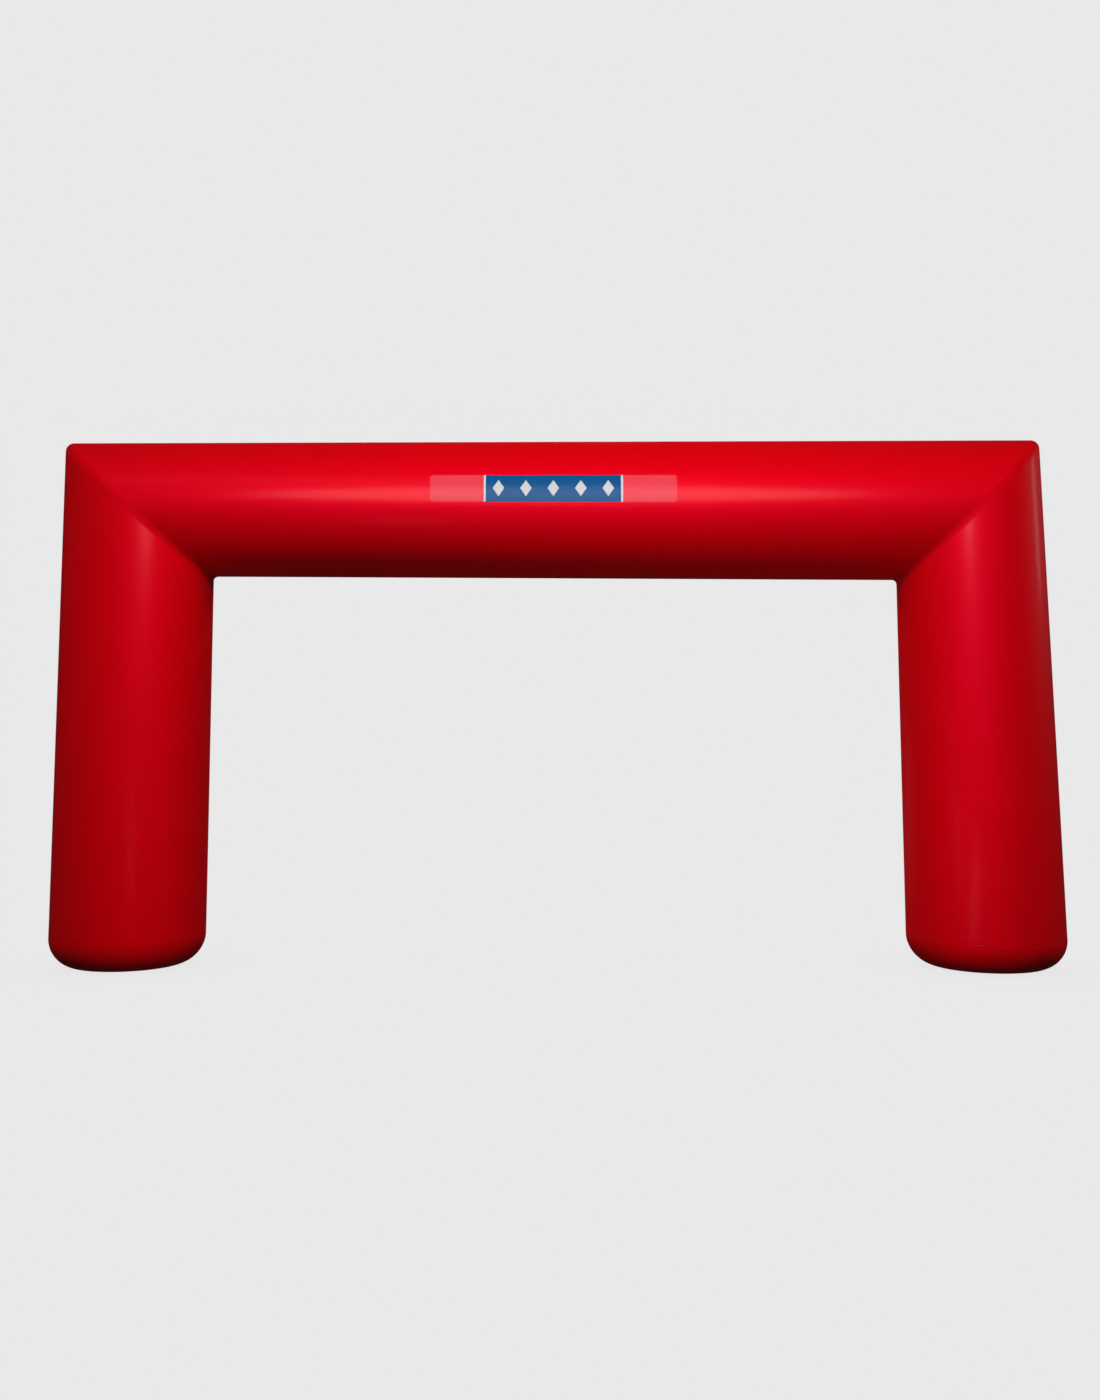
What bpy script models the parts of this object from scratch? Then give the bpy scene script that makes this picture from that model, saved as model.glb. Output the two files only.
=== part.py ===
"""Inflatable entrance arch: five sewn panels of coated cloth, blown up with air.

A level crossbar tube is mitred to two upright leg tubes, and each leg stands on a base panel with a
turned-under edge and a flat bottom. Every panel is a thin wall around the air space, open where it is
sewn to the next one, and neighbours meet edge to edge at their seam.

Frame: metres, +Z up, origin on the ground in the middle of the arch. The arch spans X and faces -Y,
so "left" is at -X.
"""

from dataclasses import dataclass
from math import cos, pi, radians, sin

import bmesh
import bpy
from mathutils import Vector

# Driving dimensions, in metres.
WALL = 0.002          # coated cloth with its turned seam allowance
SEAM_GAP = 0.0003     # between the edges of neighbouring panels
HALF_DEPTH = 0.425    # of every tube, from the arch's middle plane to its front and its back
CREST_ROUND = 0.050   # radius in which the cloth turns the corner on the outside of the arch
CROTCH_ROUND = 0.030  # the same on the inside, above the gateway
BASE_ROUND = 0.182    # radius of the turned-under edge of a base panel


@dataclass(frozen=True)
class Side:
    """One side of the arch. The tubes blow up a little unevenly, so each side has its own sizes."""

    sign: int          # -1 for the left side, +1 for the right
    axis: float        # leg's axis where it meets the crossbar's, from the middle of the arch
    lean: float        # how much further out that axis stands at the ground
    half_top: float    # half the leg's width at the corner
    half_foot: float   # half the leg's width at the ground, before the base turns under
    half_bar: float    # half the crossbar's height at this end
    crown: float       # height of the crossbar's top line at this end


LEFT = Side(sign=-1, axis=2.585, lean=-0.007, half_top=0.444, half_foot=0.447, half_bar=0.410, crown=3.201)
RIGHT = Side(sign=1, axis=2.549, lean=0.030, half_top=0.422, half_foot=0.453, half_bar=0.424, crown=3.195)

# Faceting: steps round a tube, along its straight stretch, up to a mitre seam and round a base's edge.
ROUND_STEPS = 64
BAR_STEPS = 4
LEG_STEPS = 3
TURN_STEPS = 3
BASE_STEPS = 5

ANGLES = [2 * pi * i / ROUND_STEPS for i in range(ROUND_STEPS)]
QUARTER_TURN = radians(90)
MITRE = radians(45)

# Finish: base colour (linear), roughness.
RED_CLOTH = ((0.56, 0.002, 0.012), 0.42)
DARK_RED_CLOTH = ((0.40, 0.002, 0.010), 0.50)


def corner_point(side, angle, inset):
    """Where the leg's line and the crossbar's line at this angle round the tube would meet sharply.

    Angle 0 is the arch's outer line, half a turn is its inner one, a quarter turn is the back.
    """
    out = side.axis + (side.half_top - inset) * cos(angle)
    height = side.crown - side.half_bar + (side.half_bar - inset) * cos(angle)
    return Vector((side.sign * out, (HALF_DEPTH - inset) * sin(angle), height))


def ground_point(side, angle, inset):
    """Where the leg's line at this angle would reach the ground, were its base not turned under."""
    out = side.axis + side.lean + (side.half_foot - inset) * cos(angle)
    return Vector((side.sign * out, (HALF_DEPTH - inset) * sin(angle), 0))


def leg_point(side, angle, inset, height):
    """A point on the leg's wall: each of its lines runs straight from the ground to the corner."""
    corner = corner_point(side, angle, inset)
    return ground_point(side, angle, inset).lerp(corner, height / corner.z)


def turn_radius(angle, inset):
    """The radius in which one line of the wall turns the corner; the air side runs parallel to it."""
    share = (1 + cos(angle)) / 2
    return CROTCH_ROUND + (CREST_ROUND - CROTCH_ROUND) * share - inset * cos(angle)


def turn_point(side, other, angle, inset, turn):
    """A point of the rounded corner, from the leg (turn 0) to the crossbar (a quarter turn)."""
    corner = corner_point(side, angle, inset)
    up = (corner - ground_point(side, angle, inset)).normalized()
    across = (corner_point(other, angle, inset) - corner).normalized()
    radius = turn_radius(angle, inset)
    return corner - up * radius * (1 - sin(turn)) + across * radius * (1 - cos(turn))


def mitre_turn(angle, inset, towards):
    """The turn at which a panel stops beside the mitre seam: towards is -1 for the leg, +1 for the bar."""
    return MITRE + towards * SEAM_GAP / 2 / turn_radius(angle, inset)


def leg_line(side, other, angle, inset):
    """One line of a leg panel, from its seam with the base up to the mitre seam."""
    start = leg_point(side, angle, inset, BASE_ROUND + SEAM_GAP / 2)
    end = turn_point(side, other, angle, inset, 0)
    stop = mitre_turn(angle, inset, towards=-1)
    line = [start.lerp(end, i / LEG_STEPS) for i in range(LEG_STEPS + 1)]
    line += [turn_point(side, other, angle, inset, stop * i / TURN_STEPS) for i in range(1, TURN_STEPS + 1)]
    return line


def bar_line(angle, inset):
    """One line of the crossbar panel, from the left mitre seam to the right one."""
    ends = {}
    for side, other in ((LEFT, RIGHT), (RIGHT, LEFT)):
        start = mitre_turn(angle, inset, towards=1)
        turns = [start + (QUARTER_TURN - start) * i / TURN_STEPS for i in range(TURN_STEPS + 1)]
        ends[side.sign] = [turn_point(side, other, angle, inset, turn) for turn in turns]
    left, right = ends[LEFT.sign], ends[RIGHT.sign]
    straight = [left[-1].lerp(right[-1], i / BAR_STEPS) for i in range(1, BAR_STEPS)]
    return left + straight + right[::-1]


def base_line(side, angle, inset):
    """One line of a base panel, from its seam with the leg down and under to its flat bottom."""
    radius = BASE_ROUND - inset
    first = SEAM_GAP / 2 / BASE_ROUND
    line = []
    for i in range(BASE_STEPS + 1):
        turn = first + (QUARTER_TURN - first) * i / BASE_STEPS
        drawn_in = inset + radius * (1 - cos(turn))
        line.append(leg_point(side, angle, drawn_in, BASE_ROUND - radius * sin(turn)))
    return line


def rings_of(line_of, inset):
    """The rings of one face of a wall, from the line that line_of gives at each angle."""
    return [list(ring) for ring in zip(*(line_of(angle, inset) for angle in ANGLES))]


def bridge(mesh, ring_a, ring_b):
    """Faces between two rings of vertices."""
    for i in range(ROUND_STEPS):
        j = (i + 1) % ROUND_STEPS
        mesh.faces.new((ring_a[i], ring_a[j], ring_b[j], ring_b[i]))


def close_disc(mesh, ring):
    """A flat disc of triangles inside a ring of vertices."""
    centre = mesh.verts.new(sum((vert.co for vert in ring), Vector()) / ROUND_STEPS)
    for i in range(ROUND_STEPS):
        mesh.faces.new((ring[i], ring[(i + 1) % ROUND_STEPS], centre))


def make_material(name, finish):
    """A plain coated-cloth material."""
    colour, roughness = finish
    material = bpy.data.materials.new(name)
    material.use_nodes = True
    shader = material.node_tree.nodes["Principled BSDF"]
    shader.inputs["Base Color"].default_value = (*colour, 1)
    shader.inputs["Roughness"].default_value = roughness
    shader.inputs["Metallic"].default_value = 0
    return material


def make_panel(name, line_of, origin, finish, parent, has_bottom=False):
    """A panel with its outer and its air side, joined along its seam edges, as one closed solid.

    line_of(angle, inset) gives a line of points along the panel. With has_bottom, both sides are
    closed by a flat disc at the end of that line, and otherwise the panel is open at both ends.
    """
    mesh = bmesh.new()
    faces = []
    for inset in (0, WALL):
        rings = [[mesh.verts.new(point - origin) for point in ring] for ring in rings_of(line_of, inset)]
        for ring_a, ring_b in zip(rings, rings[1:]):
            bridge(mesh, ring_a, ring_b)
        if has_bottom:
            close_disc(mesh, rings[-1])
        faces.append(rings)
    outer, inner = faces
    bridge(mesh, outer[0], inner[0])
    if not has_bottom:
        bridge(mesh, outer[-1], inner[-1])
    bmesh.ops.recalc_face_normals(mesh, faces=mesh.faces)

    data = bpy.data.meshes.new(name)
    mesh.to_mesh(data)
    mesh.free()
    data.shade_smooth()
    data.set_sharp_from_angle(angle=radians(35))
    data.materials.append(make_material(f"{name}_cloth", finish))
    panel = bpy.data.objects.new(name, data)
    panel.location = origin
    panel.parent = parent
    bpy.context.scene.collection.objects.link(panel)
    return panel


def main():
    """Clear the scene and sew the arch together."""
    for item in list(bpy.data.objects):
        bpy.data.objects.remove(item)

    arch = bpy.data.objects.new("arch", None)
    bpy.context.scene.collection.objects.link(arch)

    bar_axis = ((LEFT.crown - LEFT.half_bar) + (RIGHT.crown - RIGHT.half_bar)) / 2
    make_panel("crossbar", bar_line, Vector((0, 0, bar_axis)), RED_CLOTH, arch)
    for name, side, other in (("left", LEFT, RIGHT), ("right", RIGHT, LEFT)):
        foot = Vector((side.sign * (side.axis + side.lean), 0, 0))
        make_panel(
            f"leg_{name}",
            lambda angle, inset: leg_line(side, other, angle, inset),
            foot,
            RED_CLOTH,
            arch,
        )
        make_panel(
            f"base_{name}",
            lambda angle, inset: base_line(side, angle, inset),
            foot,
            DARK_RED_CLOTH,
            arch,
            has_bottom=True,
        )


main()
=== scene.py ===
"""The looks of an inflatable entrance arch: five sewn panels of red coated nylon, blown up with air.

The crossbar, the two legs and the two bases are each cut as one flat panel, rolled or dished into their
blown-up shape, turned in at the edges and sewn together with two rows of stitches along every seam.
A plain printed band takes the place of a sponsor's plate on the crossbar.

Frame: metres, +Z up, origin on the ground in the middle of the arch, which spans X and faces -Y.
"""

import logging
from dataclasses import dataclass, field
from enum import Enum
from functools import partial, reduce
from math import pi, radians, sqrt

import bpy
import numpy as np
from mathutils import Matrix, Vector


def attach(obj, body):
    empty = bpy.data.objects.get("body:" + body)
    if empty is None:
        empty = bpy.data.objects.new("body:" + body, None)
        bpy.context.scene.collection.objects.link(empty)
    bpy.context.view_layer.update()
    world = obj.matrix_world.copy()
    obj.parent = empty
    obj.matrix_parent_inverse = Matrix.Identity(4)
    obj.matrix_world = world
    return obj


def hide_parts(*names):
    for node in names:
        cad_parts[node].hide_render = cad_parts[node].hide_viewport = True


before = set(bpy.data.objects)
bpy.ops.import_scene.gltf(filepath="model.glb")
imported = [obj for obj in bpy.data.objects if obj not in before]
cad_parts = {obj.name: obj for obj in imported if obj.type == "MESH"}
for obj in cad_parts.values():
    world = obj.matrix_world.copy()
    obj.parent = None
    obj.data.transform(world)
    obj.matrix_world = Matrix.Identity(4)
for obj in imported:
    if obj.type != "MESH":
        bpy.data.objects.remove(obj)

log = logging.getLogger("arch")
Array = np.ndarray
Row = tuple[Array, Array]  # the points of a row of stitches, and the cloth's normals there
Place = tuple[float, float, float]
Colour = tuple[float, float, float, float]
Socket = bpy.types.NodeSocket

FULL_TURN = 2 * pi
QUARTER_TURN = pi / 2
MITRE = pi / 4
EVERY_DEGREE = np.linspace(0, FULL_TURN, 360, endpoint=False)
FRONT = 1.5 * pi       # angle round a tube that faces the front
BACK_SEAM = 0.75 * pi  # angle of each tube's lengthwise seam: behind and below, or behind and inside


# ---------- Shape ----------


@dataclass(frozen=True)
class SideSizes:
    """The sizes of one side of the arch, in metres. The tubes blow up a little unevenly."""

    sign: int          # -1 for the left side, +1 for the right
    axis: float        # leg's axis where it meets the crossbar's, from the middle of the arch
    lean: float        # how much further out that axis stands at the ground
    half_top: float    # half the leg's width at the corner
    half_foot: float   # half the leg's width at the ground, before the base turns under
    half_bar: float    # half the crossbar's height at this end
    crown: float       # height of the crossbar's top line at this end


class Side(Enum):
    """The two sides of the arch, as seen from the front."""

    LEFT = SideSizes(
        sign=-1, axis=2.585, lean=-0.007, half_top=0.444, half_foot=0.447, half_bar=0.410, crown=3.201
    )
    RIGHT = SideSizes(
        sign=1, axis=2.549, lean=0.030, half_top=0.422, half_foot=0.453, half_bar=0.424, crown=3.195
    )

    @property
    def other(self) -> "Side":
        """The opposite side."""
        return Side.RIGHT if self is Side.LEFT else Side.LEFT

    @property
    def label(self) -> str:
        """The side's name, as the nodes spell it."""
        return self.name.lower()


def normalised(vectors: Array) -> Array:
    """The same directions, one in each row, with a length of 1 where they have any."""
    lengths = np.linalg.norm(vectors, axis=-1, keepdims=True)
    return vectors / np.where(lengths < 1e-12, 1.0, lengths)


@dataclass(frozen=True)
class ArchShape:
    """The blown-up form: lines that run along the tubes, one for each angle round them.

    Angle 0 is the arch's outer line, a quarter turn is its back, half a turn its inner line.
    """

    half_depth: float = 0.425    # half the tubes' width from front to back
    crest_round: float = 0.050   # radius in which the outer line turns a corner
    crotch_round: float = 0.030  # radius in which the inner line turns it
    base_round: float = 0.182    # radius in which a base turns under

    def corner(self, side: Side, angle: Array) -> Array:
        """Where the leg's and the crossbar's lines would meet sharply.

        Args:
            side: the side of the arch.
            angle: angles round the tube.

        Returns:
            One point for each angle.
        """
        s = side.value
        out = s.axis + s.half_top * np.cos(angle)
        height = s.crown - s.half_bar + s.half_bar * np.cos(angle)
        return np.stack([s.sign * out, self.half_depth * np.sin(angle), height], axis=-1)

    def ground(self, side: Side, angle: Array, drawn_in: Array) -> Array:
        """Where the leg's lines would reach the ground.

        Args:
            side: the side of the arch.
            angle: angles round the leg.
            drawn_in: how far inside the leg's own outline.

        Returns:
            One point for each angle.
        """
        s = side.value
        out = s.axis + s.lean + (s.half_foot - drawn_in) * np.cos(angle)
        return np.stack([s.sign * out, (self.half_depth - drawn_in) * np.sin(angle), 0 * angle], axis=-1)

    def leg(self, side: Side, angle: Array, height: Array, drawn_in: Array) -> Array:
        """Points on the leg or, drawn in, on its base.

        Args:
            side: the side of the arch.
            angle: angles round the leg.
            height: heights above the ground.
            drawn_in: how far inside the leg's own outline.

        Returns:
            One point for each angle.
        """
        low = self.ground(side, angle, drawn_in)
        high = self.corner(side, angle)
        inward = np.stack([side.value.sign * np.cos(angle), np.sin(angle), 0 * angle], axis=-1)
        high = high - inward * np.asarray(drawn_in)[..., None]
        return low + (high - low) * (height / high[..., 2])[..., None]

    def turn_radius(self, angle: Array) -> Array:
        """The radius in which each line turns the corner."""
        share = (1 + np.cos(angle)) / 2
        return self.crotch_round + (self.crest_round - self.crotch_round) * share

    def directions(self, side: Side, angle: Array) -> tuple[Array, Array]:
        """The leg's direction up to the corner and the crossbar's direction away from it.

        Args:
            side: the side of the arch.
            angle: angles round the tube.

        Returns:
            The two directions for each angle.
        """
        corner = self.corner(side, angle)
        up = normalised(corner - self.ground(side, angle, 0 * angle))
        across = normalised(self.corner(side.other, angle) - corner)
        return up, across

    def turn(self, side: Side, angle: Array, turned: Array) -> Array:
        """Points on the rounded corner.

        Args:
            side: the side of the arch.
            angle: angles round the tube.
            turned: how far the line has turned, from the leg (0) to the crossbar (a quarter turn).

        Returns:
            One point for each angle.
        """
        up, across = self.directions(side, angle)
        radius = self.turn_radius(angle)
        back = (radius * (1 - np.sin(turned)))[..., None]
        on = (radius * (1 - np.cos(turned)))[..., None]
        return self.corner(side, angle) - up * back + across * on


def girth(half_width: float, half_height: float) -> float:
    """The distance round an ellipse, by Ramanujan's formula."""
    a, b = half_width, half_height
    return pi * (3 * (a + b) - sqrt((3 * a + b) * (a + 3 * b)))


# ---------- Sewing relief ----------


@dataclass(frozen=True)
class SeamRelief:
    """How cloth behaves beside a seam that runs round the tube: turned in at the edge, finely puckered."""

    seed: int
    edge_depth: float = 0.0006    # how deep the turned edge lies
    edge_reach: float = 0.0030    # how soon it comes up
    pucker: float = 0.00028       # height of the puckers
    pucker_reach: float = 0.045   # how far they run into the panel
    waves: tuple[int, int] = (26, 58)  # puckers round the tube
    sag: float = 0.0006           # long soft waves, further into the panel
    sag_reach: float = 0.22
    sag_waves: tuple[int, int] = (4, 11)

    def wander(self, angle: Array, waves: tuple[int, int], salt: int) -> Array:
        """A smooth random run of ups and downs that closes on itself round the tube.

        Args:
            angle: angles round the tube.
            waves: the fewest and the most waves round it.
            salt: tells one run of this seam from another.

        Returns:
            A height for each angle, about 1 at most.
        """
        chance = np.random.default_rng(self.seed * 10 + salt)
        height = np.zeros_like(angle)
        for count in range(*waves):
            height += chance.normal() * np.cos(count * angle + chance.uniform(0, FULL_TURN))
        return height / sqrt(waves[1] - waves[0])

    def height(self, angle: Array, distance: Array) -> Array:
        """How far the cloth stands out of its blown-up form.

        Args:
            angle: angles round the tube.
            distance: distances from the seam.

        Returns:
            A height for each point.
        """
        turned_edge = -self.edge_depth * np.exp(-((distance / self.edge_reach) ** 2))
        puckers = self.pucker * self.wander(angle, self.waves, 1) * np.exp(-distance / self.pucker_reach)
        sags = self.sag * self.wander(angle, self.sag_waves, 2) * np.exp(-distance / self.sag_reach)
        return turned_edge + puckers + sags


class Seam(Enum):
    """The seams that run round the tubes, each with its own puckers, the same on both its panels."""

    MITRE_LEFT = SeamRelief(seed=11)
    MITRE_RIGHT = SeamRelief(seed=12)
    BASE_LEFT = SeamRelief(seed=13)
    BASE_RIGHT = SeamRelief(seed=14)

    @classmethod
    def of(cls, kind: str, side: Side) -> "Seam":
        """The mitre or base seam of a side."""
        return cls[f"{kind}_{side.name}"]


# Distances from a seam at which a panel has a row of points: close where it turns in.
SEAM_STEPS = (
    0.0, 0.0007, 0.0014, 0.0022, 0.0035, 0.0052, 0.0070, 0.0095, 0.0130, 0.0170, 0.0215,
    0.0265, 0.0320, 0.0380, 0.0450, 0.0530, 0.0630, 0.0750, 0.0900, 0.1100, 0.1350,
)
LENGTHWISE_STEPS = (0.0, 0.0007, 0.0014, 0.0022, 0.0040, 0.0070, 0.0110)
STITCH_INSET = 0.0070  # from a seam to the stitches beside it
STITCH_STEP = SEAM_STEPS.index(STITCH_INSET)
STITCH_COLUMN = LENGTHWISE_STEPS.index(STITCH_INSET)
SEAM_GAP = 0.0003      # between two panels' edges
SAME_POINT = 0.00002   # points closer than this are sewn into one
SHARP_EDGE = radians(50)


# ---------- Finishes ----------


class Sketch:
    """Writes a material's nodes as sums."""

    def __init__(self, name: str) -> None:
        """Starts a material.

        Args:
            name: the material's name.
        """
        self.material = bpy.data.materials.new(name)
        self.material.use_nodes = True
        self.tree = self.material.node_tree
        self.shader = self.tree.nodes["Principled BSDF"]
        self.place = self.node("ShaderNodeTexCoord").outputs["Object"]

    def node(self, kind: str, **settings: object) -> bpy.types.Node:
        """A new node.

        Args:
            kind: the node's type.
            settings: its properties.

        Returns:
            The node.
        """
        made = self.tree.nodes.new(kind)
        for key, value in settings.items():
            setattr(made, key, value)
        return made

    def feed(self, socket: Socket, value: object) -> None:
        """Links a socket to a value, or sets it.

        Args:
            socket: the input.
            value: an output to link, or a number or colour.
        """
        if isinstance(value, Socket):
            self.tree.links.new(value, socket)
        else:
            socket.default_value = value

    def math(self, operation: str, *values: object) -> Socket:
        """A Math node.

        Args:
            operation: the node's operation.
            values: its inputs, outputs of other nodes or numbers.

        Returns:
            Its output.
        """
        made = self.node("ShaderNodeMath", operation=operation)
        for socket, value in zip(made.inputs, values):
            self.feed(socket, value)
        return made.outputs[0]

    def total(self, *values: object) -> Socket:
        """The sum of several values."""
        return reduce(partial(self.math, "ADD"), values)

    def product(self, *values: object) -> Socket:
        """The product of several values."""
        return reduce(partial(self.math, "MULTIPLY"), values)

    def blend(self, share: object, below: object, above: object) -> Socket:
        """A colour laid over another.

        Args:
            share: how much of the upper colour shows.
            below: the lower colour.
            above: the upper colour.

        Returns:
            The mixed colour.
        """
        made = self.node("ShaderNodeMix", data_type="RGBA")
        self.feed(made.inputs["Factor"], share)
        self.feed(made.inputs[6], below)
        self.feed(made.inputs[7], above)
        return made.outputs[2]

    def noise(self, scale: float, detail: float = 2.0) -> Socket:
        """A noise texture, fixed in the piece.

        Args:
            scale: waves in a metre, about.
            detail: finer layers.

        Returns:
            A value round a half.
        """
        made = self.node("ShaderNodeTexNoise")
        self.feed(made.inputs["Vector"], self.place)
        made.inputs["Scale"].default_value = scale
        made.inputs["Detail"].default_value = detail
        return made.outputs["Fac"]

    def relief(self, height: Socket, strength: float = 1.0, distance: float = 1.0) -> None:
        """Raises the surface's shading by a height.

        Args:
            height: the height, in units of the distance.
            strength: how much of it shows.
            distance: its unit, in metres.
        """
        bump = self.node("ShaderNodeBump")
        bump.inputs["Strength"].default_value = strength
        bump.inputs["Distance"].default_value = distance
        self.feed(bump.inputs["Height"], height)
        self.feed(self.shader.inputs["Normal"], bump.outputs["Normal"])


@dataclass(frozen=True)
class CoatedNylon:
    """Red nylon with a satin coating: a fine plain weave, faint unevenness in colour and in gloss."""

    name: str
    red: Colour = (0.60, 0.0, 0.002, 1.0)
    deep_red: Colour = (0.56, 0.0, 0.002, 1.0)
    gloss_tint: Colour = (1.0, 0.0, 0.07, 1.0)
    gloss: float = 1.0            # strength of the cloth's own broad sheen
    index: float = 1.6
    roughness: float = 0.58
    coat: float = 0.128
    coat_roughness: float = 0.21
    clouds: float = 1.6           # of colour, in a metre
    gloss_clouds: float = 5.0
    gloss_spread: float = 0.06    # how far the roughness varies
    thread: float = 0.0026        # distance between the threads of the weave
    weave_height: float = 0.00002
    cockles: float = 28.0         # the coating's soft unevenness, in a metre
    cockle_height: float = 0.00005

    def colour(self, sketch: Sketch, around: Socket, along: Socket) -> Socket:
        """The cloth's colour: red, in faint clouds."""
        return sketch.blend(sketch.noise(self.clouds, detail=3.0), self.red, self.deep_red)

    def build(self) -> bpy.types.Material:
        """Mixes the finish, laid out round and along the tube.

        Returns:
            The material.
        """
        sketch = Sketch(self.name)
        laid = sketch.node("ShaderNodeUVMap", uv_map="flat")
        parts = sketch.node("ShaderNodeSeparateXYZ")
        sketch.feed(parts.inputs[0], laid.outputs["UV"])
        around, along = parts.outputs[0], parts.outputs[1]

        count = FULL_TURN / self.thread
        weft = sketch.math("SINE", sketch.product(around, count))
        warp = sketch.math("SINE", sketch.product(along, count))
        weave = sketch.product(weft, warp, self.weave_height)
        cockle = sketch.product(sketch.noise(self.cockles), self.cockle_height)
        sketch.relief(sketch.total(weave, cockle))
        uneven = sketch.product(sketch.noise(self.gloss_clouds), self.gloss_spread)

        sockets = sketch.shader.inputs
        sketch.feed(sockets["Base Color"], self.colour(sketch, around, along))
        sketch.feed(sockets["Roughness"], sketch.total(self.roughness - self.gloss_spread / 2, uneven))
        sockets["IOR"].default_value = self.index
        sockets["Specular IOR Level"].default_value = self.gloss
        sockets["Specular Tint"].default_value = self.gloss_tint
        sockets["Coat Weight"].default_value = self.coat
        sockets["Coat Roughness"].default_value = self.coat_roughness
        return sketch.material


@dataclass(frozen=True)
class PrintedNylon(CoatedNylon):
    """The same nylon with a plain printed band: a blue field of white diamonds between pale red ends."""

    centre: tuple[float, float] = (0.025, -0.004)  # from the front line, from the middle of the crossbar
    half_height: float = 0.0825
    half_length: float = 0.72
    bleed: float = 0.001           # how far the print is drawn past the edges of its own faces
    rounding: float = 0.020
    half_field: float = 0.40       # of the blue field
    rule: float = 0.012            # white line at each end of the field
    diamonds: int = 5
    half_diamond: tuple[float, float] = (0.034, 0.050)
    blue: Colour = (0.001, 0.066, 0.205, 1.0)
    pale: Colour = (0.70, 0.040, 0.062, 1.0)
    white: Colour = (0.52, 0.52, 0.52, 1.0)
    gloss_tint: Colour = (0.02, 0.02, 0.02, 1.0)

    def colour(self, sketch: Sketch, around: Socket, along: Socket) -> Socket:
        """Prints the band on the cloth, which shows round its corners.

        Args:
            sketch: the material.
            around: the distance round the tube, from its front line.
            along: the distance along it, from its middle.

        Returns:
            The colour.
        """
        over = sketch.total(along, -self.centre[1])
        high = sketch.math("ABSOLUTE", sketch.total(around, -self.centre[0]))
        wide = sketch.math("ABSOLUTE", over)

        inset = self.rounding - self.bleed
        past_x = sketch.math("MAXIMUM", sketch.total(wide, inset - self.half_length), 0.0)
        past_y = sketch.math("MAXIMUM", sketch.total(high, inset - self.half_height), 0.0)
        squares = sketch.total(sketch.product(past_x, past_x), sketch.product(past_y, past_y))
        in_band = sketch.math("LESS_THAN", sketch.math("SQRT", squares), self.rounding)
        in_field = sketch.math("LESS_THAN", wide, self.half_field)
        from_rule = sketch.math("ABSOLUTE", sketch.total(wide, -self.half_field))
        in_rule = sketch.math("LESS_THAN", from_rule, self.rule / 2)

        pitch = 2 * self.half_field / self.diamonds
        cell = sketch.math("ABSOLUTE", sketch.math("WRAP", over, pitch / 2, -pitch / 2))
        half_wide, half_high = self.half_diamond
        slant = sketch.total(sketch.product(cell, 1 / half_wide), sketch.product(high, 1 / half_high))
        in_diamond = sketch.product(sketch.math("LESS_THAN", slant, 1.0), in_field)

        colour = sketch.blend(in_field, self.pale, self.blue)
        colour = sketch.blend(sketch.math("MAXIMUM", in_diamond, in_rule), colour, self.white)
        return sketch.blend(in_band, super().colour(sketch, around, along), colour)

    def covers(self, laid_out: Array) -> Array:
        """Which points of the flat panel lie in the oblong that the print is on.

        Args:
            laid_out: the points, round from the front line and along from the middle.

        Returns:
            True for each point inside it.
        """
        off = np.abs(laid_out - np.array(self.centre))
        return (off[:, 0] < self.half_height) & (off[:, 1] < self.half_length)


@dataclass(frozen=True)
class SewingThread:
    """Red polyester thread, a shade darker than the cloth."""

    name: str
    red: Colour = (0.42, 0.0, 0.004, 1.0)
    shade: float = 0.8     # painted shade: share of the red painted in with the strands' relief, for the shade between the strands
    roughness: float = 0.6
    twist: float = 0.0012  # distance between the strands of the thread
    depth: float = 0.0002  # between the strands
    softness: float = 0.4  # how much of that depth shows

    def build(self) -> bpy.types.Material:
        """Mixes the finish.

        Returns:
            The material.
        """
        sketch = Sketch(self.name)
        strands = sketch.noise(1 / self.twist)
        sketch.relief(strands, self.softness, self.depth)
        # Painted shade: the red is darkened following the strands' relief, standing in for shade between
        # the strands.
        painted_groove_shade = (*(self.shade * value for value in self.red[:3]), 1.0)
        sketch.feed(sketch.shader.inputs["Base Color"], sketch.blend(strands, self.red, painted_groove_shade))
        sketch.shader.inputs["Roughness"].default_value = self.roughness
        return sketch.material


# ---------- Cloth panels ----------


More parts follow.
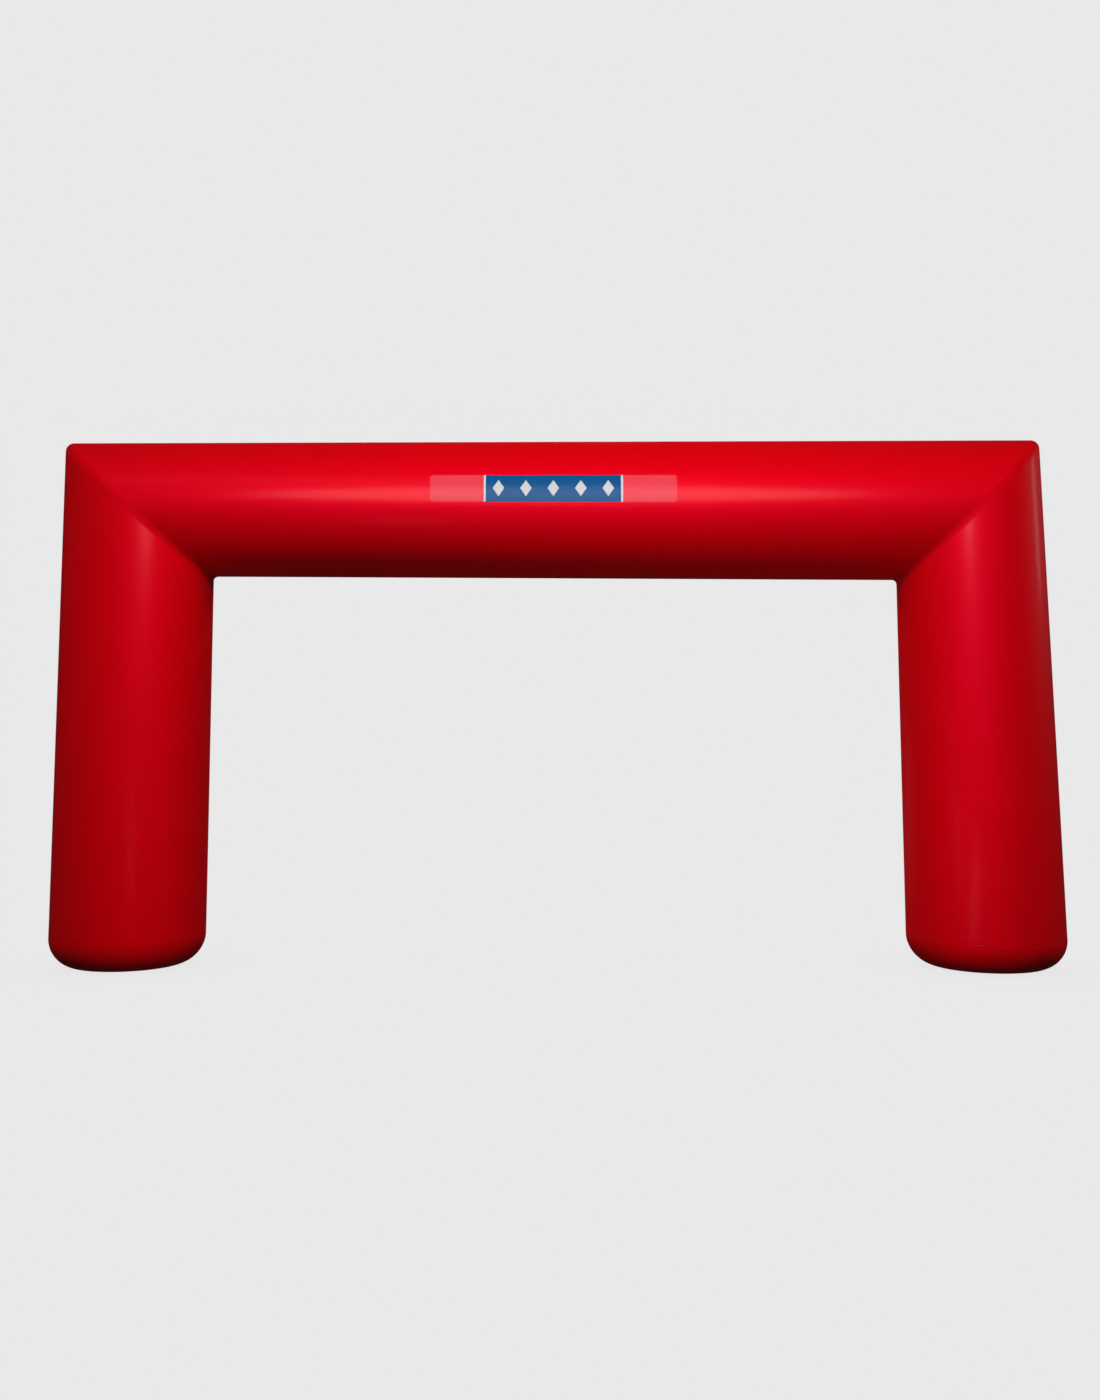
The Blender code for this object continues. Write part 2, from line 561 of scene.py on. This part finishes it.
@dataclass
class ClothPanel:
    """A panel cut flat, rolled round, sewn along its length and turned in where it joins the next."""

    shape: ArchShape
    finish: CoatedNylon
    slot: str
    thickness: float = 0.002
    columns: int = 240
    row_spacing: float = 0.070
    name: str = field(init=False)
    seams: tuple[Seam, Seam | None] = field(init=False)  # at the start and at the end of its lines
    angles: Array = field(init=False)
    points: Array = field(init=False)
    normals: Array = field(init=False)
    piece: bpy.types.Object = field(init=False)

    def lengths(self, angle: Array) -> Array:
        """The length of the panel's line at each angle."""
        raise NotImplementedError

    def place(self, angle: Array, distance: Array) -> Array:
        """The points at some distance along the lines, in the blown-up form."""
        raise NotImplementedError

    def flat_size(self) -> tuple[float, float]:
        """The width and the length that the panel is cut to."""
        raise NotImplementedError

    def flat_area(self) -> float:
        """The area that is cut."""
        return self.flat_size()[0] * float(self.lengths(EVERY_DEGREE).mean())

    def flat_place(self, angle: Array, distance: Array, length: Array) -> Array:
        """Where points lie in the flat panel, in metres: round from the front line, and along."""
        return np.stack([(angle - FRONT) * self.girth_radius(), distance], axis=-1)

    def girth_radius(self) -> float:
        """The tube's mean radius, which turns angles into distances round it."""
        return self.flat_size()[0] / FULL_TURN

    def spread_angles(self) -> Array:
        """Spreads the panel's lines round the tube, closely beside its lengthwise seam.

        Returns:
            Their angles, from the seam all the way round to it.
        """
        close = np.array(LENGTHWISE_STEPS) / self.girth_radius()
        turn = FULL_TURN / self.columns
        wide = np.arange(1, self.columns) * turn
        wide = wide[(wide > close[-1] + turn / 2) & (wide < FULL_TURN - close[-1] - turn / 2)]
        angles = BACK_SEAM + np.concatenate([close, wide, FULL_TURN - close[::-1]])
        for guide in self.guide_angles():
            angles[np.abs(angles - guide).argmin()] = guide
        return angles

    def guide_angles(self) -> list[float]:
        """Angles at which the panel has a line of points."""
        return []

    def guide_rows(self) -> list[Array]:
        """Rows of distances, one for each line, at which the panel has points."""
        return []

    def stations(self, length: Array) -> Array:
        """Distances along each line at which the panel has points, close beside its seams.

        Args:
            length: the length of each line.

        Returns:
            One row of distances for each row of points.
        """
        start = np.array(SEAM_STEPS)[:, None]
        end = start if self.seams[1] else start[:1]
        stops = [start[-1] + 0 * length, *self.guide_rows(), length - end[-1]]
        rows = [start[:-1] + 0 * length]
        for before, after in zip(stops, stops[1:]):
            count = max(2, int(round(float((after - before).max()) / self.row_spacing)))
            shares = np.linspace(0, 1, count + 1)[:-1, None]
            rows.append(before + shares * (after - before))
        rows.append(length - end[::-1])
        return np.concatenate(rows)

    def relief(self, angle: Array, distance: Array, length: Array) -> Array:
        """How far the cloth stands out of its blown-up form, beside its end seams and its lengthwise seam.

        Args:
            angle: angles round the tube.
            distance: distances along the lines.
            length: the lines' lengths.

        Returns:
            A height for each point.
        """
        start, end = (seam.value for seam in self.seams)
        ends = start.height(angle, distance) + end.height(angle, length - distance)
        beside = np.minimum(angle - BACK_SEAM, BACK_SEAM + FULL_TURN - angle) * self.girth_radius()
        return ends - start.edge_depth * np.exp(-((beside / start.edge_reach) ** 2))

    def blow_up(self) -> tuple[Array, Array]:
        """Works out the points of the blown-up panel and its normals.

        Returns:
            The angles and the distances of the points along their lines.
        """
        self.angles = self.spread_angles()
        length = self.lengths(self.angles)
        distance = self.stations(length)
        angle = np.broadcast_to(self.angles, distance.shape)
        form = np.stack([self.place(self.angles, row) for row in distance])
        # The first column is the last one, so that the normals run on over the lengthwise seam.
        wrapped = np.concatenate([form[:, -2:-1], form, form[:, 1:2]], axis=1)
        round_it = wrapped[:, 2:] - wrapped[:, :-2]
        along_it = np.gradient(form, axis=0)
        normal = normalised(np.cross(round_it, along_it))
        middle = form.mean(axis=1, keepdims=True)
        if float((normal * (form - middle)).sum()) < 0:
            normal = -normal
        # A base's lines all end in one point, which has no normal of its own.
        no_normal = np.linalg.norm(normal, axis=-1) < 0.5
        normal[no_normal] = (0, 0, -1)
        self.points = form + normal * self.relief(angle, distance, length)[..., None]
        self.normals = normal
        return angle, distance

    def build(self) -> None:
        """Cuts, rolls, sews and thickens the panel."""
        angle, distance = self.blow_up()
        rows, columns = distance.shape
        bpy.ops.object.select_all(action="DESELECT")
        bpy.ops.mesh.primitive_grid_add(x_subdivisions=columns - 1, y_subdivisions=rows - 1, size=1.0)
        panel = bpy.context.object
        mesh = panel.data
        panel.name = mesh.name = f"{self.name}_panel"

        flat = np.empty((len(mesh.vertices), 3))
        mesh.vertices.foreach_get("co", flat.ravel())
        column = np.rint((flat[:, 0] + 0.5) * (columns - 1)).astype(int)
        row = np.rint((flat[:, 1] + 0.5) * (rows - 1)).astype(int)
        mesh.vertices.foreach_set("co", self.points[row, column].ravel())

        laid_out = self.flat_place(angle, distance, self.lengths(self.angles))
        corners = np.empty(len(mesh.loops), dtype=np.int32)
        mesh.loops.foreach_get("vertex_index", corners)
        mesh.uv_layers.active.name = "flat"
        mesh.uv_layers["flat"].uv.foreach_set("vector", laid_out[row[corners], column[corners]].ravel())

        bpy.ops.object.mode_set(mode="EDIT")
        bpy.ops.mesh.select_all(action="SELECT")
        bpy.ops.mesh.remove_doubles(threshold=SAME_POINT)
        bpy.ops.mesh.normals_make_consistent(inside=False)
        bpy.ops.object.mode_set(mode="OBJECT")

        wall = panel.modifiers.new("cloth", "SOLIDIFY")
        wall.thickness = self.thickness
        wall.offset = -1
        bpy.ops.object.modifier_apply(modifier=wall.name)
        bpy.ops.object.shade_smooth_by_angle(angle=SHARP_EDGE)

        self.dress(panel)
        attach(panel, "root")
        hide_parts(self.name)
        self.piece = panel
        log.info("%s: %d faces, cut %.2f x %.2f m", self.name, len(mesh.polygons), *self.flat_size())

    def declare(self, rests_on: list[str], sewn_on: list[bpy.types.Object]) -> None:
        """Args:
            rests_on: the names of the panels that hold it up; not used.
            sewn_on: the stitching that goes with it; not used.
        """
        self.flat_size()
        self.flat_area()

    def dress(self, panel: bpy.types.Object) -> None:
        """Gives the panel its finish."""
        panel.data.materials.clear()
        panel.data.materials.append(self.finish.build())

    def stitch_row(self, row: int) -> Row:
        """A row of stitches round the tube, on a row of its points."""
        return self.points[row], self.normals[row]

    def stitch_columns(self) -> list[Row]:
        """Takes the rows of stitches beside the lengthwise seam, from end seam to end seam.

        Returns:
            The row on each side of it.
        """
        inside = slice(STITCH_STEP, -1 - STITCH_STEP)
        beside = (STITCH_COLUMN, -1 - STITCH_COLUMN)
        return [(self.points[inside, column], self.normals[inside, column]) for column in beside]


@dataclass
class LegPanel(ClothPanel):
    """A leg: a tube from the base seam up to the mitre seam."""

    side: Side = Side.LEFT

    def __post_init__(self) -> None:
        """Names the panel and its seams."""
        self.name = f"leg_{self.side.label}"
        self.seams = (Seam.of("BASE", self.side), Seam.of("MITRE", self.side))

    def start(self, angle: Array) -> Array:
        """The lower ends of the lines, at the base seam."""
        height = np.full_like(angle, self.shape.base_round + SEAM_GAP / 2)
        return self.shape.leg(self.side, angle, height, 0 * angle)

    def straight(self, angle: Array) -> Array:
        """The length of each line up to where it starts to turn the corner."""
        return np.linalg.norm(self.shape.turn(self.side, angle, 0 * angle) - self.start(angle), axis=-1)

    def lengths(self, angle: Array) -> Array:
        """The length of the panel's line at each angle."""
        return self.straight(angle) + self.shape.turn_radius(angle) * MITRE - SEAM_GAP / 2

    def place(self, angle: Array, distance: Array) -> Array:
        """Finds points of the leg: straight up, then round the corner to the mitre.

        Args:
            angle: angles round the tube.
            distance: how far along each line.

        Returns:
            One point for each line.
        """
        straight = self.straight(angle)
        start = self.start(angle)
        end = self.shape.turn(self.side, angle, 0 * angle)
        share = np.clip(distance / straight, 0, 1)[:, None]
        turned = np.clip(distance - straight, 0, None) / self.shape.turn_radius(angle)
        on_turn = self.shape.turn(self.side, angle, turned)
        return np.where((turned > 0)[:, None], on_turn, start + (end - start) * share)

    def flat_size(self) -> tuple[float, float]:
        """The width and the length that the panel is cut to."""
        half_width = max(self.side.value.half_top, self.side.value.half_foot)
        return girth(half_width, self.shape.half_depth), float(self.lengths(np.array([0.0]))[0])


@dataclass
class CrossbarPanel(ClothPanel):
    """The crossbar: a tube with both its ends cut on the mitre, and a printed band on its front."""

    band: PrintedNylon = field(default_factory=lambda: PrintedNylon("crossbar_print"))

    def __post_init__(self) -> None:
        """Names the panel and its seams."""
        self.name = "crossbar"
        self.seams = (Seam.MITRE_LEFT, Seam.MITRE_RIGHT)

    def spans(self, angle: Array) -> tuple[Array, Array, Array]:
        """The lines between the two rounded corners.

        Args:
            angle: angles round the tube.

        Returns:
            Their left ends, their right ends and their lengths.
        """
        quarter = np.full_like(angle, QUARTER_TURN)
        left = self.shape.turn(Side.LEFT, angle, quarter)
        right = self.shape.turn(Side.RIGHT, angle, quarter)
        return left, right, np.linalg.norm(right - left, axis=-1)

    def lengths(self, angle: Array) -> Array:
        """The length of the panel's line at each angle."""
        return self.spans(angle)[2] + 2 * self.shape.turn_radius(angle) * MITRE - SEAM_GAP

    def place(self, angle: Array, distance: Array) -> Array:
        """Finds points of the crossbar: round the left corner, straight over, round the right corner.

        Args:
            angle: angles round the tube.
            distance: how far along each line.

        Returns:
            One point for each line.
        """
        left, right, span = self.spans(angle)
        radius = self.shape.turn_radius(angle)
        first = radius * MITRE - SEAM_GAP / 2
        before = np.clip(first - distance, 0, None) / radius
        after = np.clip(distance - first - span, 0, None) / radius
        share = np.clip((distance - first) / span, 0, 1)[:, None]
        points = left + (right - left) * share
        for side, turned in ((Side.LEFT, before), (Side.RIGHT, after)):
            on_turn = self.shape.turn(side, angle, QUARTER_TURN - turned)
            points = np.where((turned > 0)[:, None], on_turn, points)
        return points

    def flat_size(self) -> tuple[float, float]:
        """The width and the length that the panel is cut to."""
        width = girth(Side.RIGHT.value.half_bar, self.shape.half_depth)
        return width, float(self.lengths(np.array([0.0]))[0])

    def flat_place(self, angle: Array, distance: Array, length: Array) -> Array:
        """Where points lie in the flat panel: round from the front line, along from the middle."""
        return super().flat_place(angle, distance - self.middle(angle[0]), length)

    def middle(self, angle: Array) -> Array:
        """The distance along each line of the middle of the arch."""
        return self.shape.turn_radius(angle) * MITRE - self.spans(angle)[0][:, 0]

    def guide_angles(self) -> list[float]:
        """The band's lower and upper edges."""
        around, half = self.band.centre[0], self.band.half_height
        return [FRONT + (around + edge) / self.girth_radius() for edge in (-half, half)]

    def guide_rows(self) -> list[Array]:
        """The band's left and right edges, carried on all round the tube."""
        along = self.band.centre[1] + self.middle(self.angles)
        return [along - self.band.half_length, along + self.band.half_length]

    def dress(self, panel: bpy.types.Object) -> None:
        """Gives the panel its finish, and the faces of the band theirs.

        Args:
            panel: the panel, all of four-cornered faces.
        """
        super().dress(panel)
        mesh = panel.data
        mesh.materials.append(self.band.build())
        laid_out = np.empty((len(mesh.polygons), 4, 2))  # the four corners of every face
        mesh.uv_layers["flat"].uv.foreach_get("vector", laid_out.ravel())
        printed = self.band.covers(laid_out.mean(axis=1))
        mesh.polygons.foreach_set("material_index", printed.astype(np.int32))


@dataclass
class BasePanel(ClothPanel):
    """A base: a disc of cloth, dished under the leg's edge and flat where it stands."""

    side: Side = Side.LEFT
    row_spacing: float = 0.016
    relief_reach: float = 0.20  # how far from the seam its puckers run out

    def __post_init__(self) -> None:
        """Names the panel and its seam."""
        self.name = f"base_{self.side.label}"
        self.seams = (Seam.of("BASE", self.side), None)

    def centre(self) -> Array:
        """The middle of the bottom."""
        sizes = self.side.value
        return np.array([sizes.sign * (sizes.axis + sizes.lean), 0, 0])

    def lengths(self, angle: Array) -> Array:
        """Measures the lines, from the leg's seam to the middle of the bottom.

        Args:
            angle: angles round the leg.

        Returns:
            The length of each.
        """
        under = self.shape.base_round * QUARTER_TURN
        rim = self.place(angle, np.full_like(angle, under))
        return under + np.linalg.norm(rim - self.centre(), axis=-1)

    def place(self, angle: Array, distance: Array) -> Array:
        """Finds points of the base: turned under from the seam, then flat to the middle.

        Args:
            angle: angles round the tube.
            distance: how far along each line.

        Returns:
            One point for each line.
        """
        radius = self.shape.base_round
        turned = np.clip((distance + SEAM_GAP / 2) / radius, 0, QUARTER_TURN)
        drawn_in = radius * (1 - np.cos(turned))
        turn = self.shape.leg(self.side, angle, radius * (1 - np.sin(turned)), drawn_in)
        beyond = np.clip(distance - radius * QUARTER_TURN, 0, None)[:, None]
        to_centre = self.centre() - turn
        inward = normalised(to_centre * np.array([1, 1, 0]))
        limit = np.linalg.norm(to_centre, axis=-1)[:, None] * (beyond > 0)
        return turn + inward * np.minimum(beyond, limit)

    def relief(self, angle: Array, distance: Array, length: Array) -> Array:
        """How far the cloth stands out of its blown-up form: nothing where it stands on the ground."""
        fading = np.clip(1 - distance / self.relief_reach, 0, 1)
        return self.seams[0].value.height(angle, distance) * fading

    def flat_size(self) -> tuple[float, float]:
        """The width and the length that the panel is cut to."""
        width = 2 * float(self.lengths(np.array([0.0]))[0])
        return width, width

    def flat_area(self) -> float:
        """The area that is cut: a disc."""
        return pi * float((self.lengths(EVERY_DEGREE) ** 2).mean())

    def girth_radius(self) -> float:
        """The base's mean radius at its seam."""
        return (self.side.value.half_foot + self.shape.half_depth) / 2

    def flat_place(self, angle: Array, distance: Array, length: Array) -> Array:
        """Where points lie in the flat panel, in metres, from its middle."""
        radius = length - distance
        return np.stack([radius * np.cos(angle), radius * np.sin(angle)], axis=-1)


# ---------- Stitching ----------


@dataclass
class Stitching:
    """Rows of stitches of real thread along a seam."""

    seam: str
    slot: str
    length: float = 0.0062
    pitch: float = 0.0080
    thread: float = 0.0011
    bow: float = 0.00025   # how far a stitch's middle stands out of the cloth
    bend: float = 0.3      # where it bends down into the cloth, as a share of its length
    tip: float = 0.45      # how thin its ends are, as a share of the thread
    tuck: float = 0.35     # how deep they go, as a share of the thread

    def model_stitch(self) -> tuple[Array, list[list[int]]]:
        """Models one stitch, lying along X on the cloth, with its ends pulled into it.

        Returns:
            Its points and its faces.
        """
        bpy.ops.object.select_all(action="DESELECT")
        bpy.ops.mesh.primitive_cylinder_add(
            vertices=4,
            radius=self.thread / 2,
            depth=self.length,
            end_fill_type="NGON",
            rotation=(0, QUARTER_TURN, 0),
        )
        stitch = bpy.context.object
        bpy.ops.object.transform_apply(location=False, rotation=True, scale=False)
        bpy.ops.object.mode_set(mode="EDIT")
        for share in (-self.bend, self.bend):
            bpy.ops.mesh.select_all(action="SELECT")
            bpy.ops.mesh.bisect(plane_co=(share * self.length, 0, 0), plane_no=(1, 0, 0))
        bpy.ops.mesh.select_all(action="SELECT")
        bpy.ops.mesh.normals_make_consistent(inside=False)
        bpy.ops.object.mode_set(mode="OBJECT")
        points = np.array([vertex.co[:] for vertex in stitch.data.vertices])
        faces = [list(face.vertices) for face in stitch.data.polygons]
        ends = np.abs(points[:, 0]) > (self.bend + 0.5) / 2 * self.length
        points[ends, 1:] *= self.tip
        points[ends, 2] -= self.thread * self.tuck
        points[~ends, 2] += self.bow
        bpy.data.meshes.remove(stitch.data)  # and the object with it
        return points, faces

    def spread(self, row: Row) -> tuple[Array, Array, Array]:
        """Places for stitches along a row.

        Args:
            row: points along the row and the cloth's normals there.

        Returns:
            Their places, their directions and their normals.
        """
        points, normals = row
        travelled = np.concatenate([[0], np.cumsum(np.linalg.norm(np.diff(points, axis=0), axis=1))])
        count = int(travelled[-1] / self.pitch)
        spots = (np.arange(count) + 0.5) * travelled[-1] / count

        def read(values: Array, where: Array) -> Array:
            """Values between those of the row's points."""
            return np.stack([np.interp(where, travelled, values[:, i]) for i in range(3)], axis=-1)

        half = self.length / 2
        direction = normalised(read(points, spots + half) - read(points, spots - half))
        return read(points, spots), direction, normalised(read(normals, spots))

    def sew(self, rows: list[Row]) -> bpy.types.Object:
        """Sews rows of stitches, as one piece.

        Args:
            rows: points along each row and the cloth's normals there.

        Returns:
            The stitches.
        """
        stitch, faces = self.model_stitch()
        all_points, all_faces, used = [], [], 0
        for row in rows:
            spots, forward, up = self.spread(row)
            side = normalised(np.cross(up, forward))
            for spot, x, y, z in zip(spots, forward, side, up):
                all_points.append(spot + stitch @ np.stack([x, y, z]))
                all_faces += [[used + index for index in face] for face in faces]
                used += len(stitch)
        name = f"stitching_{self.seam}"
        mesh = bpy.data.meshes.new(name)
        mesh.from_pydata(np.concatenate(all_points).tolist(), [], all_faces)
        mesh.shade_smooth()
        mesh.materials.append(SewingThread(f"thread_{self.seam}").build())
        piece = bpy.data.objects.new(name, mesh)
        bpy.context.scene.collection.objects.link(piece)
        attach(piece, "root")
        log.info("%s: %d stitches", name, len(all_points))
        return piece


# ---------- The arch ----------


@dataclass
class Arch:
    """The whole arch: its five panels and the stitching between them."""

    shape: ArchShape = field(default_factory=ArchShape)

    def build(self) -> None:
        bar = CrossbarPanel(self.shape, CoatedNylon("crossbar_nylon"), "bar_cloth")
        sides = [
            (
                LegPanel(self.shape, CoatedNylon("leg_nylon"), "leg_cloth", side=side),
                BasePanel(self.shape, CoatedNylon("base_nylon"), "base_cloth", side=side),
            )
            for side in Side
        ]
        for panel in (bar, *sides[0], *sides[1]):
            panel.build()

        with_bar = [Stitching("crossbar", "bar_cloth").sew(bar.stitch_columns())]
        for side, (leg, base) in zip(Side, sides):
            bar_row = STITCH_STEP if side is Side.LEFT else -1 - STITCH_STEP
            mitre = [leg.stitch_row(-1 - STITCH_STEP), bar.stitch_row(bar_row)]
            with_bar.append(Stitching(f"mitre_{side.label}", "bar_cloth").sew(mitre))
            around = [leg.stitch_row(STITCH_STEP), base.stitch_row(STITCH_STEP)]
            with_leg = [
                Stitching(leg.name, "leg_cloth").sew(leg.stitch_columns()),
                Stitching(base.name, "base_cloth").sew(around),
            ]
            leg.declare([base.name], with_leg)
            base.declare([], [])
        bar.declare(["leg_left", "leg_right"], with_bar)


# ---------- Studio ----------


class Shines(Enum):
    """What a lamp does: it lights the cloth, or it shows in its gloss."""

    DIFFUSE = "diffuse"
    GLOSSY = "glossy"


@dataclass(frozen=True)
class Softbox:
    """A soft lamp that lights the arch and doesn't show itself."""

    name: str
    place: Place
    width: float
    height: float
    watts: float
    aim: Place = (0.0, 0.0, 2.0)
    shines: Shines = Shines.DIFFUSE
    falls_on: tuple[str, ...] = ()  # the pieces that it lights, where it doesn't light them all

    def hang(self) -> None:
        """Hangs the lamp."""
        lamp = bpy.data.lights.new(self.name, "AREA")
        lamp.shape = "ELLIPSE"
        lamp.size = self.width
        lamp.size_y = self.height
        lamp.energy = self.watts
        holder = bpy.data.objects.new(self.name, lamp)
        holder.location = self.place
        aim = Vector(self.aim) - Vector(self.place)
        holder.rotation_euler = aim.to_track_quat("-Z", "Y").to_euler()
        holder.visible_camera = False
        holder.visible_diffuse = self.shines is Shines.DIFFUSE
        holder.visible_glossy = self.shines is Shines.GLOSSY
        bpy.context.scene.collection.objects.link(holder)
        if self.falls_on:
            lit = bpy.data.collections.new(f"{self.name}_falls_on")
            for piece in self.falls_on:
                lit.objects.link(bpy.data.objects[piece])
            holder.light_linking.receiver_collection = lit


BAR = ("crossbar_panel",)
LEFT = ("leg_left_panel", "base_left_panel")
RIGHT = ("leg_right_panel", "base_right_panel")


@dataclass(frozen=True)
class Studio:
    """A plain pale floor and backdrop, and soft lamps."""

    pale: float = 0.8148       # what the floor and the backdrop show
    dim: float = 0.040         # the even light that the surroundings give
    mirrored: float = 0.02     # what a glossy surface mirrors of them
    floor_size: float = 240.0
    contact: float = 0.05      # painted contact shadow: how much darker the floor is painted right beside a base
    contact_reach: float = 0.35
    contact_samples: int = 8
    lamps: tuple[Softbox, ...] = (  # name, place, width, height, watts
        Softbox("key", (0.0, -7.0, 6.0), 4.0, 1.0, 478.0),
        Softbox("top", (-1.9, -6.0, 6.7), 8.8, 1.0, 88.0),
        Softbox("near", (1.5, -3.5, 6.2), 1.0, 1.0, 54.0),
        Softbox("low_right", (1.5, -2.0, 0.3), 1.0, 1.0, 12.3),
        Softbox("low_left", (-1.4, -3.4, 0.6), 1.0, 1.0, 8.2),
        Softbox("side_right", (9.9, 1.0, 3.6), 0.5, 2.3, 240.0, aim=(2.6, 0.0, 2.2)),
        Softbox("inner", (0.7, 2.1, 0.9), 1.6, 1.6, 18.0, aim=(2.6, 0.0, 1.1), falls_on=RIGHT),
        Softbox("side_left", (-9.0, 1.0, 3.0), 1.0, 1.0, 119.0),
        Softbox("sheen_bar", (0.0, -5.4, 3.84), 6.2, 2.2, 365.0, (0.0, 0.0, 2.4), Shines.GLOSSY, BAR),
        Softbox("sheen_left", (0.4, -6.0, 5.2), 3.4, 2.4, 235.0, (0.0, 0.0, 2.0), Shines.GLOSSY, LEFT),
        Softbox("sheen_right", (0.5, -6.0, 5.1), 1.4, 1.3, 440.0, (0.0, 0.0, 2.0), Shines.GLOSSY, RIGHT),
        Softbox("rim", (9.6, 1.5, 4.5), 1.1, 2.3, 22.0, (2.6, 0.0, 2.6), Shines.GLOSSY, RIGHT),
        Softbox("back", (0.0, 5.5, 8.0), 5.0, 2.0, 430.0, aim=(0.0, 0.0, 1.5)),
    )

    def world(self) -> None:
        """The backdrop, pale to look at and dim as a lamp."""
        world = bpy.data.worlds.new("studio")
        world.use_nodes = True
        nodes, links = world.node_tree.nodes, world.node_tree.links
        nodes.clear()
        ray = nodes.new("ShaderNodeLightPath")
        out = nodes.new("ShaderNodeOutputWorld")
        shown = nodes.new("ShaderNodeBackground")
        shown.inputs["Strength"].default_value = self.dim
        for output, value in (("Is Glossy Ray", self.mirrored), ("Is Camera Ray", self.pale)):
            shade = nodes.new("ShaderNodeBackground")
            shade.inputs["Strength"].default_value = value
            mix = nodes.new("ShaderNodeMixShader")
            links.new(ray.outputs[output], mix.inputs[0])
            links.new(shown.outputs[0], mix.inputs[1])
            links.new(shade.outputs[0], mix.inputs[2])
            shown = mix
        for shade in nodes:
            if shade.type == "BACKGROUND":
                shade.inputs["Color"].default_value = (1, 1, 1, 1)
        links.new(shown.outputs[0], out.inputs[0])
        bpy.context.scene.world = world

    def floor(self) -> None:
        """The floor: the backdrop's own shade, with a painted contact shadow close to the bases."""
        bpy.ops.object.select_all(action="DESELECT")
        bpy.ops.mesh.primitive_plane_add(size=self.floor_size)
        floor = bpy.context.object
        floor.name = "floor"
        material = bpy.data.materials.new("pale_floor")
        material.use_nodes = True
        nodes, links = material.node_tree.nodes, material.node_tree.links
        nodes.clear()
        # Painted contact shadow: ambient occlusion darkens the floor's glow close to the bases.
        shadow_occlusion = nodes.new("ShaderNodeAmbientOcclusion")
        shadow_occlusion.inputs["Distance"].default_value = self.contact_reach
        shadow_occlusion.samples = self.contact_samples
        shade = nodes.new("ShaderNodeMapRange")
        shade.inputs["To Min"].default_value = self.pale * (1 - self.contact)
        shade.inputs["To Max"].default_value = self.pale
        glow = nodes.new("ShaderNodeEmission")
        out = nodes.new("ShaderNodeOutputMaterial")
        links.new(shadow_occlusion.outputs["AO"], shade.inputs["Value"])
        links.new(shade.outputs[0], glow.inputs["Strength"])
        links.new(glow.outputs[0], out.inputs[0])
        floor.data.materials.append(material)
        floor.visible_diffuse = False
        floor.visible_glossy = False
        floor.visible_shadow = False

    def build(self) -> None:
        """Sets up the whole studio."""
        self.world()
        self.floor()
        for lamp in self.lamps:
            lamp.hang()
        bpy.context.scene.view_settings.view_transform = "Standard"
        log.info("studio: %d lamps", len(self.lamps))


@dataclass(frozen=True)
class Viewpoint:
    """Where the arch is looked at from: in front, below its middle and a little right of it."""

    place: Place = (0.0503, -6.4511, 1.0819)
    yaw: float = 0.0123
    pitch: float = 0.0802
    roll: float = 0.0003
    focal_length: float = 1055.12   # in the same unit as the frame's height
    frame_height: float = 1400.0
    sensor: float = 36.0            # that height on the sensor, in millimetres
    far: float = 500.0              # as far as the camera sees

    def build(self) -> None:
        """Puts up the camera."""
        camera = bpy.data.cameras.new("camera")
        camera.sensor_width = self.sensor
        camera.lens = self.focal_length * self.sensor / self.frame_height
        camera.clip_end = self.far
        holder = bpy.data.objects.new("camera", camera)
        turn = Matrix.Rotation(self.yaw, 4, "Z") @ Matrix.Rotation(self.pitch, 4, "X")
        turn = turn @ Matrix.Rotation(self.roll, 4, "Y") @ Matrix.Rotation(QUARTER_TURN, 4, "X")
        holder.matrix_world = Matrix.Translation(self.place) @ turn
        bpy.context.scene.collection.objects.link(holder)
        bpy.context.scene.camera = holder
        log.info("camera: %.1f mm lens", camera.lens)


def main() -> None:
    """Builds the arch and its studio."""
    logging.basicConfig(level=logging.INFO, format="%(name)s: %(message)s")
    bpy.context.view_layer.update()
    Viewpoint().build()
    Arch().build()
    Studio().build()


if __name__ == "__main__":
    main()
